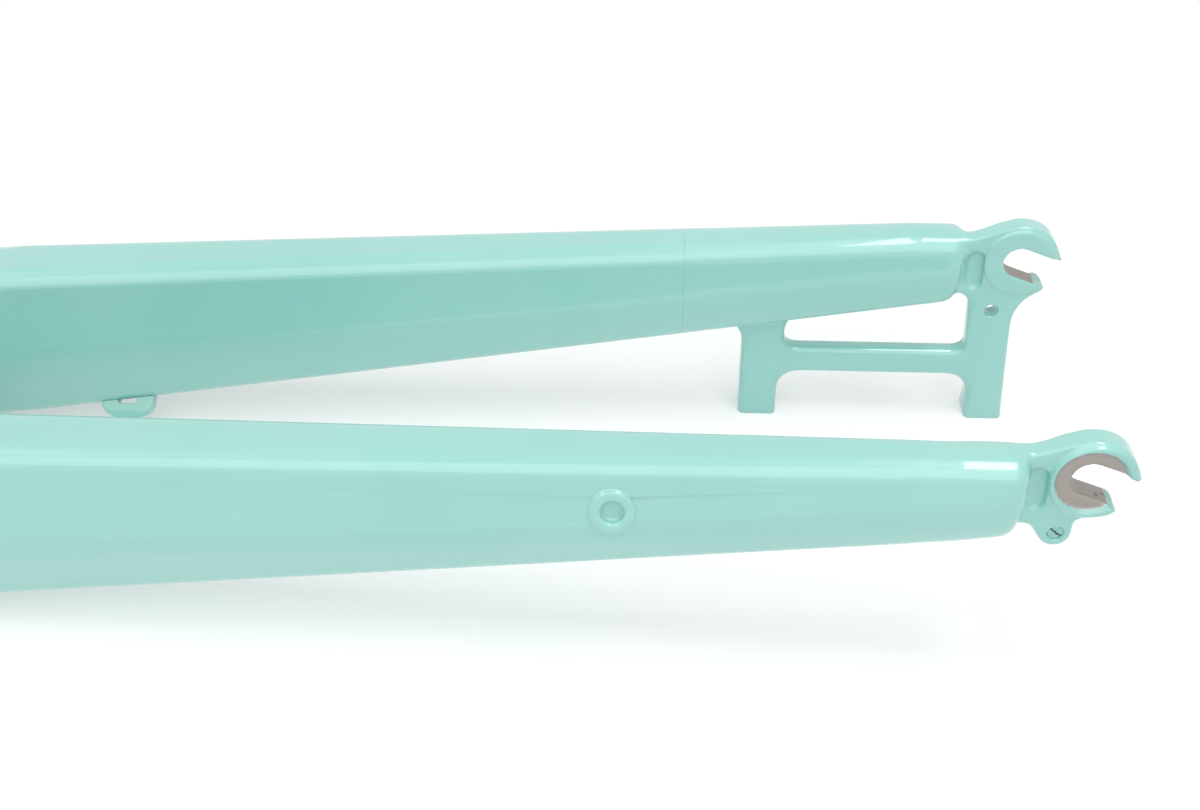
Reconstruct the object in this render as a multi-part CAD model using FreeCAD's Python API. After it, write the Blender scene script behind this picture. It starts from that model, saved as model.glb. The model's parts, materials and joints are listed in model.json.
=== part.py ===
import FreeCAD, Part
import math
import os
from collections import namedtuple

from FreeCAD import Vector

# Rigid disc-brake bicycle fork, welded from a steerer tube, a forged crown, two tapered blades and two
# forged dropouts. It lies on its rear side: +X runs from the steerer to the dropouts, +Y to the disc
# side (the rider's left) and +Z to the front of the fork. Sizes are in millimetres and degrees.
# Until the last step the origin is the middle of the axle.

# Wheel and steering geometry
HUB_WIDTH = 100.0
AXLE_TO_CROWN = 370.6
RAKE = 45.0
STEERER_LEAN = 2.16
TYRE_GAP = 51.0
FLOOR_DROP = 59.0

# Steerer tube and crown
STEERER_DIAMETER = 28.6
STEERER_WALL = 2.6
STEERER_SPIGOT_STEP = 0.3
STEERER_LENGTH = 250.0
RACE_SEAT_DIAMETER = 30.0
RACE_SEAT_HEIGHT = 7.0
RACE_SHOULDER_DIAMETER = 38.0
CROWN_HEIGHT = 44.0
CROWN_APEX_WIDTH = 17.0
CROWN_APEX_DEPTH = 46.0
CROWN_APEX_RADIUS = 4.5
CROWN_APEX_SLOPE = 0.1
CROWN_STEPS = 8
CROWN_FLATS = 3
CROWN_COLLAR_DEPTH = 14.0
CROWN_COLLAR_FLARE = 5.0
MUDGUARD_HOLE_DIAMETER = 6.5

# Blades
BLADE_WALL = 2.2
BLADE_TOP_WIDTH = 36.4
BLADE_TOP_DEPTH = 54.5
BLADE_TOP_FORWARD = 3.7
BLADE_TIP_WIDTH = 21.0
BLADE_TIP_DEPTH = 26.2
BLADE_TIP_SETBACK = 4.7
BLADE_TIP_OFFSET = 6.4
BLADE_NOSE_RADIUS = 6.8
BLADE_RIDGE_RADIUS = 20.0
BLADE_INNER_RADIUS = 21.0
BLADE_FLANK_SLOPE = 0.235
RIDGE_SHARE = 0.12

# Rack bosses in the blades, M5
BOSS_DISTANCE = 122.0
BOSS_FORWARD = 4.0
BOSS_FLANGE_DIAMETER = 12.0
BOSS_FLANGE_HEIGHT = 1.2
BOSS_BARREL_DIAMETER = 8.0
BOSS_BARREL_DEPTH = 9.0
BOSS_MOUTH_DIAMETER = 6.4
M5_TAP_DIAMETER = 4.3

# Hose guide on the disc-side blade
GUIDE_DISTANCE = 281.6
GUIDE_LENGTH = 17.0
GUIDE_REACH = 6.0
GUIDE_ROOT = 5.0
GUIDE_THICKNESS = 4.0
GUIDE_CORNER_RADIUS = 5.5
GUIDE_ANGLE = 36.0
GUIDE_SLOT_LENGTH = 6.2
GUIDE_SLOT_HEIGHT = 2.8
GUIDE_SLOT_REACH = 1.4

# Dropouts, both sides
SEAM_DISTANCE = 32.0
PLATE_THICKNESS = 6.2
HUB_LAND_HEIGHT = 0.8
HUB_LAND_RADIUS = 10.8
LIP_HEIGHT = 1.5
LIP_RADIUS = 11.9
LIP_SHIFT = 0.8
LIP_SLOPE = 0.9
RECESS_RADIUS = 8.9
RECESS_SLOPE = 1.2
AXLE_SLOT_WIDTH = 10.0
AXLE_SLOT_FALL = 21.0
HOOK_RADIUS = 12.0
HOOK_RISE = 0.3
HOOK_TIP_ANGLE = 24.0
NECK_DISTANCE = 15.5
NECK_HEIGHT = 7.8
NECK_RADIUS = 5.0
JAW_LENGTH = 9.4
JAW_REACH = 10.2
JAW_THICKNESS = 6.6
JAW_RADIUS = 2.2
JAW_FALL = 1.4
STUB_END_DISTANCE = 17.2
STUB_END_TILT = 0.1
STUB_END_RISE = 2.4
STUB_END_NARROWING = 0.4
STUB_EDGE_RADIUS = 4.0
STUB_FLATS = 4
POCKET_WIDTH = 5.4
POCKET_LENGTH = 13.4
POCKET_DEPTH = 2.0
POCKET_DISTANCE = 13.2
POCKET_SETBACK = 3.5
VENT_DIAMETER = 2.0
VENT_SETBACK = 1.0
VENT_INSET = 2.2
VENT_SLANT = 0.15
EYELET_DISTANCE = 6.2
EYELET_SETBACK = 18.0
EYELET_RADIUS = 4.5
EYELET_FILLET = 2.4
EYELET_NOTCH_DISTANCE = 13.4

# Post mount on the disc-side dropout, M6
POST_SPACING = 74.0
POST_SETBACK = 3.8
POST_WIDTH = 12.4
POST_NECK_WIDTH = 9.2
POST_THICKNESS = 12.0
POST_PROUD = 1.4
POST_EDGE_RADIUS = 2.0
POST_TOP_DROP = 20.0
POST_WEB_EXTRA = 3.6
POST_WEB_LEAN = 1.4
POST_SWEEP_DROP = 15.0
POST_SWEEP_RADIUS = 15.0
POST_FLARE_RADIUS = 8.0
POST_FLARE_REACH = 8.0
M6_TAP_DIAMETER = 5.0
M6_TAP_DEPTH = 17.0
BAR_HEIGHT = 9.8
BAR_THICKNESS = 7.0
BAR_DROP = 38.6
BAR_FILLET_BELOW = 7.0
BAR_FILLET_ABOVE = 4.0
BAR_EDGE_CHAMFER = 1.7

# Places worked out from the sizes above
LEAN = math.radians(STEERER_LEAN)
UP_STEERER = Vector(-math.cos(LEAN), 0, math.sin(LEAN))
REARWARD = Vector(-math.sin(LEAN), 0, -math.cos(LEAN))
RACE_CENTRE = UP_STEERER * AXLE_TO_CROWN + REARWARD * RAKE
BLADE_TOP_X = RACE_CENTRE.x + CROWN_HEIGHT
BLADE_TIP_X = -SEAM_DISTANCE
PLATE_INNER = HUB_WIDTH / 2 + HUB_LAND_HEIGHT
PLATE_OUTER = PLATE_INNER + PLATE_THICKNESS
POST_INNER = PLATE_INNER - POST_PROUD
FLOOR = -FLOOR_DROP
POST_XS = (-POST_SETBACK, -POST_SETBACK - POST_SPACING)
BAR_TOP = -BAR_DROP + BAR_HEIGHT / 2
BAR_BOTTOM = -BAR_DROP - BAR_HEIGHT / 2


def steerer_height(x):
    """Height of the steerer's axis above a place along the fork."""
    return RACE_CENTRE.z + (x - RACE_CENTRE.x) * UP_STEERER.z / UP_STEERER.x


def corner_turns(corners):
    """For each corner (a, b, radius): its tip, the ways back and ahead, half its angle and its radius."""
    for before, corner, after in zip(corners[-1:] + corners[:-1], corners, corners[1:] + corners[:1]):
        tip = Vector(corner[0], corner[1], 0)
        back = (Vector(before[0], before[1], 0) - tip).normalize()
        ahead = (Vector(after[0], after[1], 0) - tip).normalize()
        yield tip, back, ahead, back.getAngle(ahead) / 2, corner[2]


def rounded_wire(corners, place):
    """Closed wire through corners (a, b, radius); place turns (a, b) into a point in space."""
    starts, mids, ends = [], [], []
    for tip, back, ahead, half, radius in corner_turns(corners):
        middle = (back + ahead).normalize()
        starts.append(tip + back * (radius / math.tan(half)))
        ends.append(tip + ahead * (radius / math.tan(half)))
        mids.append(tip + middle * (radius / math.sin(half) - radius))
    edges = []
    for index, corner in enumerate(corners):
        start, mid, end = (place(p.x, p.y) for p in (starts[index], mids[index], ends[index]))
        if corner[2] > 0:
            edges.append(Part.Arc(start, mid, end).toShape())
        following = starts[(index + 1) % len(corners)]
        leap = place(following.x, following.y)
        if end.distanceToPoint(leap) > 1e-6:
            edges.append(Part.LineSegment(end, leap).toShape())
    return Part.Wire(edges)


def flattened(corners, flats):
    """Corners of the same outline with each rounding turned into a few flats."""
    points = []
    for tip, back, ahead, half, radius in corner_turns(corners):
        centre = tip + (back + ahead).normalize() * (radius / math.sin(half))
        start = tip + back * (radius / math.tan(half)) - centre
        end = tip + ahead * (radius / math.tan(half)) - centre
        for step in range(flats + 1):
            spoke = start + (end - start) * (step / flats)
            point = centre + spoke.normalize() * radius
            points.append((point.x, point.y, 0.0))
    return points


def arc_corners(centre_x, centre_z, radius, angles):
    """Corners whose roundings join into one arc about a centre, through the given angles."""
    corners = []
    for first, last in zip(angles, angles[1:]):
        middle = math.radians((first + last) / 2)
        reach = radius / math.cos(math.radians(last - first) / 2)
        corners.append((centre_x + reach * math.cos(middle), centre_z + reach * math.sin(middle), radius))
    return corners


def mix(start, end, share):
    return start + (end - start) * share


def cylinder(radius, start, direction, length):
    return Part.makeCylinder(radius, length, start, direction)


def prism(corners, y_from, y_to):
    """Solid with an X-Z outline between two places across the fork."""
    wire = rounded_wire(corners, lambda a, b: Vector(a, y_from, b))
    return Part.Face(wire).extrude(Vector(0, y_to - y_from, 0))


def flat_face(points):
    return Part.Face(Part.makePolygon(points + points[:1]))


def flat_sided(outlines):
    """Solid through outlines whose matching sides are parallel, so that every side is flat."""
    faces = [flat_face(outlines[0]), flat_face(outlines[-1])]
    for start, end in zip(outlines, outlines[1:]):
        sides = zip(start, start[1:] + start[:1], end[1:] + end[:1], end)
        faces += [flat_face(list(side)) for side in sides]
    shell = Part.Shell(faces)
    shell.sewShape()
    return Part.Solid(shell)


def tapered_prism(start, end, radii):
    """Flat-sided solid between two outlines, with each long edge rounded by its own radius."""
    body = flat_sided([start, end])
    for first, last, radius in zip(start, end, radii):
        middle = Part.Vertex((first + last) / 2)
        long_edge = min(body.Edges, key=lambda edge: edge.distToShape(middle)[0])
        body = body.makeFillet(radius, [long_edge])
    return body


def mirrored(shape):
    return shape.mirror(Vector(0, 0, 0), Vector(0, 1, 0))


# Blade sections

Section = namedtuple("Section", "width depth spread middle slope nose ridge inner")


def blade_at(x):
    """Sizes of the left blade's section at a place along the fork."""
    share = (x - BLADE_TOP_X) / (BLADE_TIP_X - BLADE_TOP_X)
    top_middle = steerer_height(BLADE_TOP_X) + BLADE_TOP_FORWARD
    return Section(
        width=mix(BLADE_TOP_WIDTH, BLADE_TIP_WIDTH, share),
        depth=mix(BLADE_TOP_DEPTH, BLADE_TIP_DEPTH, share),
        spread=mix(TYRE_GAP / 2 + BLADE_TOP_WIDTH / 2, HUB_WIDTH / 2 + BLADE_TIP_OFFSET, share),
        middle=mix(top_middle, -BLADE_TIP_SETBACK, share),
        slope=BLADE_FLANK_SLOPE,
        nose=BLADE_NOSE_RADIUS,
        ridge=BLADE_RIDGE_RADIUS,
        inner=BLADE_INNER_RADIUS,
    )


def blade_rear(x):
    """Height of the blade's rear edge."""
    return blade_at(x).middle - blade_at(x).depth / 2


def section_corners(section):
    """Corners of a blade section (outward, forward): round noses and a ridge along each flank."""
    half_width = section.width / 2
    half_depth = section.depth / 2
    ridge = -half_depth * RIDGE_SHARE
    nose_half = half_width - section.slope * (half_depth - ridge)
    return [
        (-nose_half, half_depth, section.nose),
        (nose_half, half_depth, section.nose),
        (half_width, ridge, section.ridge),
        (nose_half, -half_depth, section.nose),
        (-nose_half, -half_depth, section.nose),
        (-half_width, ridge, section.inner),
    ]


def inset_corners(corners, wall):
    """Corners of the same outline with a wall's thickness taken off inside."""
    moved = []
    for tip, back, ahead, half, radius in corner_turns(corners):
        inside = tip + (back + ahead).normalize() * (wall / math.sin(half))
        moved.append((inside.x, inside.y, radius - wall))
    return moved


def placed(corners, section, x):
    """Corners of a section as points in space, at a place along the fork."""
    return [Vector(x, section.spread + out, section.middle + ahead) for out, ahead, radius in corners]


def blade_solid(wall):
    """The left blade filled up: its outside, or its hollow where a wall is taken off."""
    ends = []
    for x in (BLADE_TOP_X, BLADE_TIP_X):
        corners = inset_corners(section_corners(blade_at(x)), wall)
        ends.append(placed(corners, blade_at(x), x))
    return tapered_prism(*ends, [radius for out, ahead, radius in corners])


# Rack bosses and hose guide


def boss_seat():
    """Point on the outer front flank of the left blade, and the way the flank faces."""
    section = blade_at(-BOSS_DISTANCE)
    rise = BOSS_FORWARD + section.depth / 2 * RIDGE_SHARE
    out = section.width / 2 - section.slope * rise
    seat = Vector(-BOSS_DISTANCE, section.spread + out, section.middle + BOSS_FORWARD)
    return seat, Vector(0, 1, section.slope).normalize()


def boss_shapes(blade_skin):
    """Turned M5 boss of the left blade, and the barrel that fills the hole in the blade's wall."""
    seat, outward = boss_seat()
    inward = outward * -1
    face = seat + outward * BOSS_FLANGE_HEIGHT
    barrel_length = BOSS_FLANGE_HEIGHT + BOSS_BARREL_DEPTH
    flange = cylinder(BOSS_FLANGE_DIAMETER / 2, face, inward, 2 * BOSS_FLANGE_HEIGHT).cut(blade_skin)
    barrel = cylinder(BOSS_BARREL_DIAMETER / 2, face, inward, barrel_length)
    mouth_depth = (BOSS_MOUTH_DIAMETER - M5_TAP_DIAMETER) / 2
    mouth = Part.makeCone(BOSS_MOUTH_DIAMETER / 2, M5_TAP_DIAMETER / 2, mouth_depth, face, inward)
    tapped = cylinder(M5_TAP_DIAMETER / 2, face, inward, barrel_length)
    boss = flange.fuse(barrel).cut(mouth.fuse(tapped)).removeSplitter()
    return boss, barrel


def hose_guide(blade_skin):
    """Slotted tab that stands on the inner rear corner of the left blade."""
    section = blade_at(-GUIDE_DISTANCE)
    rear_nose, inner_ridge = section_corners(section)[-2:]
    flank_turn = math.atan2(inner_ridge[1] - rear_nose[1], rear_nose[0] - inner_ridge[0])
    nose_y = section.spread + rear_nose[0] + section.nose * math.tan(flank_turn / 2)
    nose_z = section.middle + rear_nose[1] + section.nose
    angle = math.radians(GUIDE_ANGLE)
    outward = Vector(0, -math.sin(angle), -math.cos(angle))
    across = Vector(0, -math.cos(angle), math.sin(angle))
    root = Vector(-GUIDE_DISTANCE, nose_y, nose_z) + outward * section.nose - across * (GUIDE_THICKNESS / 2)

    def place(along, reach):
        return root + Vector(along, 0, 0) + outward * reach

    half = GUIDE_LENGTH / 2
    tab = [
        (-half, -GUIDE_ROOT, 0),
        (half, -GUIDE_ROOT, 0),
        (half, GUIDE_REACH, GUIDE_CORNER_RADIUS),
        (-half, GUIDE_REACH, GUIDE_CORNER_RADIUS),
    ]
    slot_half = GUIDE_SLOT_LENGTH / 2
    slot_root = GUIDE_SLOT_REACH - GUIDE_SLOT_HEIGHT
    slot = [
        (-slot_half, slot_root, 0),
        (slot_half, slot_root, 0),
        (slot_half, GUIDE_SLOT_REACH, 0),
        (-slot_half, GUIDE_SLOT_REACH, 0),
    ]
    depth_way = across * GUIDE_THICKNESS
    body = Part.Face(rounded_wire(tab, place)).extrude(depth_way)
    window = Part.Face(rounded_wire(slot, place)).extrude(depth_way)
    return body.cut(window).cut(blade_skin)


# Crown and steerer


def crown_arch():
    """Arch from blade top to blade top, as a loft of sections that fan out about the tyre's gap."""
    blade = blade_at(BLADE_TOP_X)
    wires = []
    for step in range(CROWN_STEPS + 1):
        angle = math.pi * step / CROWN_STEPS
        share = math.sin(angle) ** 2
        width = mix(blade.width, CROWN_APEX_WIDTH, share)
        radius = TYRE_GAP / 2 + width / 2
        section = Section(
            width=width,
            depth=mix(blade.depth, CROWN_APEX_DEPTH, share),
            spread=radius,
            middle=mix(blade.middle, steerer_height(BLADE_TOP_X - radius), share),
            slope=mix(blade.slope, CROWN_APEX_SLOPE, share),
            nose=mix(blade.nose, CROWN_APEX_RADIUS, share),
            ridge=mix(blade.ridge, CROWN_APEX_DEPTH / 2, share),
            inner=mix(blade.inner, CROWN_APEX_DEPTH, share),
        )

        def place(out, ahead):
            reach = section.spread + out
            x = BLADE_TOP_X - reach * math.sin(angle)
            return Vector(x, reach * math.cos(angle), section.middle + ahead)

        corners = flattened(section_corners(section), CROWN_FLATS)
        points = [place(out, ahead) for out, ahead, radius in corners]
        wires.append(Part.makePolygon(points + points[:1]))
    return Part.makeLoft(wires, True, True)


def crown_and_steerer():
    shoulder = RACE_SHOULDER_DIAMETER / 2
    collar_foot = RACE_CENTRE - UP_STEERER * CROWN_COLLAR_DEPTH
    foot_radius = shoulder + CROWN_COLLAR_FLARE
    collar = Part.makeCone(foot_radius, shoulder, CROWN_COLLAR_DEPTH, collar_foot, UP_STEERER)
    seat = cylinder(RACE_SEAT_DIAMETER / 2, RACE_CENTRE, UP_STEERER, RACE_SEAT_HEIGHT)
    arch_height = CROWN_HEIGHT - TYRE_GAP / 2
    tube_foot = RACE_CENTRE - UP_STEERER * arch_height
    tube_length = STEERER_LENGTH + arch_height
    spigot_radius = STEERER_DIAMETER / 2 - STEERER_SPIGOT_STEP
    spigot = cylinder(spigot_radius, tube_foot, UP_STEERER, tube_length)
    seat_top = RACE_CENTRE + UP_STEERER * RACE_SEAT_HEIGHT
    tube = cylinder(STEERER_DIAMETER / 2, seat_top, UP_STEERER, STEERER_LENGTH - RACE_SEAT_HEIGHT)
    tube = tube.fuse(spigot)
    bore = cylinder(STEERER_DIAMETER / 2 - STEERER_WALL, tube_foot, UP_STEERER, tube_length)
    well_foot = RACE_CENTRE - UP_STEERER * CROWN_HEIGHT
    well = cylinder(spigot_radius, well_foot, UP_STEERER, CROWN_HEIGHT + RACE_SEAT_HEIGHT)
    hole_start = RACE_CENTRE - UP_STEERER * (arch_height / 2) + REARWARD * CROWN_APEX_DEPTH
    hole = cylinder(MUDGUARD_HOLE_DIAMETER / 2, hole_start, REARWARD * -1, 2 * CROWN_APEX_DEPTH)
    crown = crown_arch().fuse(collar).fuse(seat).cut(well).cut(hole).removeSplitter()
    return crown, tube.cut(bore).cut(hole).removeSplitter()


# Dropouts


def hook_and_slot():
    """Outline corners from the neck over the hook, into the axle slot and out to the lower jaw."""
    neck = Vector(-NECK_DISTANCE, NECK_HEIGHT, 0)
    hook = Vector(0, HOOK_RISE, 0)
    to_neck = neck - hook
    bearing = math.degrees(math.atan2(to_neck.y, to_neck.x))
    first = bearing - math.degrees(math.acos(HOOK_RADIUS / to_neck.Length))
    corners = [(neck.x, neck.y, NECK_RADIUS)]
    corners += arc_corners(hook.x, hook.y, HOOK_RADIUS, (first, (first + HOOK_TIP_ANGLE) / 2, HOOK_TIP_ANGLE))
    fall = math.radians(AXLE_SLOT_FALL)
    way_out = Vector(math.cos(fall), -math.sin(fall), 0)
    edge = Vector(math.sin(fall), math.cos(fall), 0) * (AXLE_SLOT_WIDTH / 2)
    tip_angle = math.radians(HOOK_TIP_ANGLE)
    tip_normal = Vector(math.cos(tip_angle), math.sin(tip_angle), 0)
    travel = (HOOK_RADIUS + (hook - edge).dot(tip_normal)) / way_out.dot(tip_normal)
    tip = edge + way_out * travel
    corners.append((tip.x, tip.y, 0))
    start = 90 - AXLE_SLOT_FALL
    corners += arc_corners(0, 0, AXLE_SLOT_WIDTH / 2, (start, start + 90, start + 180))
    jaw = way_out * JAW_LENGTH - edge
    corners.append((jaw.x, jaw.y, 0))
    return corners


def jaw_bottom():
    return -AXLE_SLOT_WIDTH / 2 - JAW_THICKNESS


def eyelet_outline():
    """Outline of the right dropout's plate, with the mudguard eyelet's tab."""
    corners = [(BLADE_TIP_X, NECK_HEIGHT, 0)]
    corners += hook_and_slot()
    corners.append((JAW_REACH, jaw_bottom(), JAW_RADIUS))
    corners.append((-EYELET_DISTANCE + EYELET_RADIUS, jaw_bottom() - JAW_FALL, EYELET_FILLET))
    corners += arc_corners(-EYELET_DISTANCE, -EYELET_SETBACK, EYELET_RADIUS, (0, -75, -150))
    notch = blade_rear(BLADE_TIP_X) + STUB_END_RISE
    corners.append((-EYELET_NOTCH_DISTANCE, notch, EYELET_FILLET))
    corners.append((BLADE_TIP_X, notch, 0))
    return corners


def post_root_outline():
    """Outline of the left dropout's plate, which runs on down into the first post."""
    right = POST_XS[0] + POST_NECK_WIDTH / 2
    left = POST_XS[0] - POST_WIDTH / 2 - POST_WEB_EXTRA
    corners = [(BLADE_TIP_X, NECK_HEIGHT, 0)]
    corners += hook_and_slot()
    corners.append((JAW_REACH, jaw_bottom() + JAW_RADIUS, JAW_RADIUS / 2))
    corners.append((right, -POST_SWEEP_DROP, POST_SWEEP_RADIUS))
    corners.append((right, -BAR_DROP, 0))
    corners.append((left + POST_WEB_LEAN, -BAR_DROP, 0))
    corners.append((left, blade_rear(BLADE_TIP_X) + BAR_FILLET_ABOVE, BAR_FILLET_ABOVE))
    corners.append((BLADE_TIP_X, -BLADE_TIP_SETBACK, 0))
    return corners


def bar_outline():
    """Outline of the bar, with the webs that run down and up the two posts."""
    half = POST_WIDTH / 2
    right, left = POST_XS
    web = right - half - POST_WEB_EXTRA + POST_WEB_LEAN
    window = left + half + POST_WEB_LEAN
    flare_left = left - half - POST_FLARE_RADIUS
    flare_right = window + POST_FLARE_REACH
    blade_top = blade_at(left).middle
    return [
        (right, BAR_TOP + 2 * BAR_FILLET_ABOVE, 0),
        (right, FLOOR, 0),
        (right - half, FLOOR, 0),
        (right - half, BAR_BOTTOM, BAR_FILLET_BELOW),
        (left + half, BAR_BOTTOM, BAR_FILLET_BELOW),
        (left + half, FLOOR, 0),
        (left - half, FLOOR, 0),
        (left - half, blade_rear(left - half), POST_FLARE_RADIUS),
        (flare_left, blade_rear(flare_left) + BLADE_WALL, 0),
        (flare_left, blade_top, 0),
        (flare_right, blade_top, 0),
        (window, blade_rear(window) - BAR_FILLET_ABOVE, BAR_FILLET_ABOVE),
        (window, BAR_TOP, BAR_FILLET_ABOVE),
        (web, BAR_TOP, BAR_FILLET_ABOVE),
        (web, BAR_TOP + 2 * BAR_FILLET_ABOVE, 0),
    ]


def stub():
    """Solid end of the dropout, with the blade's section at the seam and a shoulder rounded in flats."""
    section = blade_at(BLADE_TIP_X)
    small = section._replace(
        width=section.width - STUB_END_NARROWING,
        depth=section.depth - STUB_END_RISE,
        middle=section.middle + STUB_END_RISE / 2,
    )

    def end_x(z):
        return STUB_END_TILT * (z - small.middle) - STUB_END_DISTANCE

    start = placed(flattened(section_corners(section), STUB_FLATS), section, BLADE_TIP_X)
    rim = []
    end = placed(flattened(section_corners(small), STUB_FLATS), small, -STUB_END_DISTANCE)
    for first, last in zip(start, end):
        way = last - first
        reach = end_x(first.z) - STUB_EDGE_RADIUS - first.x
        corner = first + way * (reach / (way.x - STUB_END_TILT * way.z))
        rim.append((corner.y, corner.z, STUB_EDGE_RADIUS))
    outlines = [start]
    for step in range(STUB_FLATS + 1):
        turn = math.pi / 2 * step / STUB_FLATS
        back = STUB_EDGE_RADIUS * (1 - math.sin(turn))
        shoulder = inset_corners(rim, STUB_EDGE_RADIUS * (1 - math.cos(turn)))
        outlines.append([Vector(end_x(z) - back, y, z) for y, z, radius in shoulder])
    return flat_sided(outlines)


def broken_bar(body, faces):
    """Bar with the edges of its two faces broken between the posts."""
    rim = []
    for edge in body.Edges:
        box = edge.BoundBox
        on_face = min(abs(box.YMin - face) + abs(box.YMax - face) for face in faces) < 1e-3
        between = POST_XS[1] < box.XMin and box.XMax < POST_XS[0]
        if on_face and between and box.ZMax < BAR_TOP + BAR_FILLET_ABOVE:
            rim.append(edge)
    return body.makeChamfer(BAR_EDGE_CHAMFER, rim)


def dropout(outline):
    """Plate with its hub land, lip, recess, pockets and vent, joined to the stub."""
    land_face = HUB_WIDTH / 2
    lip_face = PLATE_OUTER + LIP_HEIGHT
    across = Vector(0, 1, 0)
    plate = prism(outline, PLATE_INNER, PLATE_OUTER)
    land = cylinder(HUB_LAND_RADIUS, Vector(0, land_face, 0), across, HUB_LAND_HEIGHT)
    land = land.common(prism(outline, land_face, PLATE_INNER))
    lip_base = Vector(LIP_SHIFT, PLATE_OUTER, 0)
    lip = Part.makeCone(LIP_RADIUS, LIP_RADIUS - LIP_SLOPE, LIP_HEIGHT, lip_base, across)
    lip = lip.common(prism(outline, PLATE_OUTER, lip_face))
    recess_base = Vector(0, PLATE_OUTER, 0)
    lip = lip.cut(Part.makeCone(RECESS_RADIUS, RECESS_RADIUS + RECESS_SLOPE, LIP_HEIGHT, recess_base, across))
    body = stub().fuse(plate).fuse(land).fuse(lip)
    half_width = POCKET_WIDTH / 2
    half_length = POCKET_LENGTH / 2
    pocket = [
        (-POCKET_DISTANCE - half_width, -POCKET_SETBACK - half_length, half_width),
        (-POCKET_DISTANCE + half_width, -POCKET_SETBACK - half_length, half_width),
        (-POCKET_DISTANCE + half_width, -POCKET_SETBACK + half_length, half_width),
        (-POCKET_DISTANCE - half_width, -POCKET_SETBACK + half_length, half_width),
    ]
    body = body.cut(prism(pocket, PLATE_INNER, PLATE_INNER + POCKET_DEPTH))
    body = body.cut(prism(pocket, PLATE_OUTER - POCKET_DEPTH, PLATE_OUTER))
    vent_mouth = Vector(-POCKET_DISTANCE, PLATE_INNER - VENT_INSET, -VENT_SETBACK)
    vent = cylinder(VENT_DIAMETER / 2, vent_mouth, Vector(-1, VENT_SLANT, 0), SEAM_DISTANCE)
    return body.cut(vent)


def eyelet_hole():
    start = Vector(-EYELET_DISTANCE, POST_INNER, -EYELET_SETBACK)
    return cylinder(M5_TAP_DIAMETER / 2, start, Vector(0, 1, 0), 2 * POST_THICKNESS)


def caliper_post(x, top, top_width):
    """Four-sided post with rounded edges, from the floor up, which thins to the plate's thickness."""
    levels = [
        (FLOOR, POST_WIDTH, POST_INNER, POST_INNER + POST_THICKNESS),
        (top, top_width, PLATE_INNER, PLATE_OUTER),
    ]
    ends = []
    for z, width, near, far in levels:
        left, right = x - width / 2, x + width / 2
        ends.append([Vector(a, b, z) for a, b in ((left, near), (left, far), (right, far), (right, near))])
    return tapered_prism(*ends, [POST_EDGE_RADIUS] * 4)


def left_dropout(blade_skin):
    body = dropout(post_root_outline())
    faces = (PLATE_INNER, PLATE_INNER + BAR_THICKNESS)
    bar = broken_bar(prism(bar_outline(), *faces), faces)
    bar = bar.fuse(caliper_post(POST_XS[0], -POST_TOP_DROP, POST_NECK_WIDTH))
    bar = bar.fuse(caliper_post(POST_XS[1], blade_at(POST_XS[1]).middle, POST_WIDTH))
    body = body.fuse(bar.cut(blade_skin))
    for x in POST_XS:
        foot = Vector(x, POST_INNER + POST_THICKNESS / 2, FLOOR)
        body = body.cut(cylinder(M6_TAP_DIAMETER / 2, foot, Vector(0, 0, 1), M6_TAP_DEPTH))
    return body.cut(eyelet_hole()).removeSplitter()


def right_dropout():
    return mirrored(dropout(eyelet_outline()).cut(eyelet_hole()).removeSplitter())


# All pieces, moved so that the origin is under the middle of the fork, on the floor

left_skin = blade_solid(0.0)
left_boss, boss_barrel = boss_shapes(left_skin)
left_blade = left_skin.cut(blade_solid(BLADE_WALL)).cut(boss_barrel)
crown, steerer_tube = crown_and_steerer()
pieces = {
    "steerer_tube": steerer_tube,
    "crown": crown,
    "left_blade": left_blade,
    "right_blade": mirrored(left_blade),
    "left_dropout": left_dropout(left_skin),
    "right_dropout": right_dropout(),
    "left_blade_boss": left_boss,
    "right_blade_boss": mirrored(left_boss),
    "hose_guide": hose_guide(left_skin),
}
box = Part.makeCompound(list(pieces.values())).optimalBoundingBox(False, False)
to_origin = Vector(-box.Center.x, -box.Center.y, -box.ZMin)

os.makedirs("parts", exist_ok=True)
for name, piece in pieces.items():
    solid = piece.Solids[0].translated(to_origin)
    solid.exportStep("parts/" + name + ".step")
    print(name, len(piece.Solids), solid.isValid(), round(solid.Volume))
print("moved by", to_origin, "box", box)
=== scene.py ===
"""Rigid disc-brake bicycle fork in gloss mint paint, dressed over its frame and laid on a pale floor."""

import bpy
import json
import math
from mathutils import Matrix, Vector


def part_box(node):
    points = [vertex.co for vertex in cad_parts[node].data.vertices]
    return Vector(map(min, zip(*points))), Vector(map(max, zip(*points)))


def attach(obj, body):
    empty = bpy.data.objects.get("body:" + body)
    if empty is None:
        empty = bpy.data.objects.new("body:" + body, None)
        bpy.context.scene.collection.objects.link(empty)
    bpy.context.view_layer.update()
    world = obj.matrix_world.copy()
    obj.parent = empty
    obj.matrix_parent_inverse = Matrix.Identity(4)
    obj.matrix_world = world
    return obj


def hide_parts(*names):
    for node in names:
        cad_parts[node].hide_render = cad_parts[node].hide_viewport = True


bl_info = {
    "name": "Mint Disc Fork",
    "version": (1, 0, 0),
    "blender": (4, 5, 0),
    "location": "View3D > Sidebar > Fork",
    "description": "Dresses a rigid disc-brake fork in gloss paint and sets it in a plain studio",
    "category": "Object",
}

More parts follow.
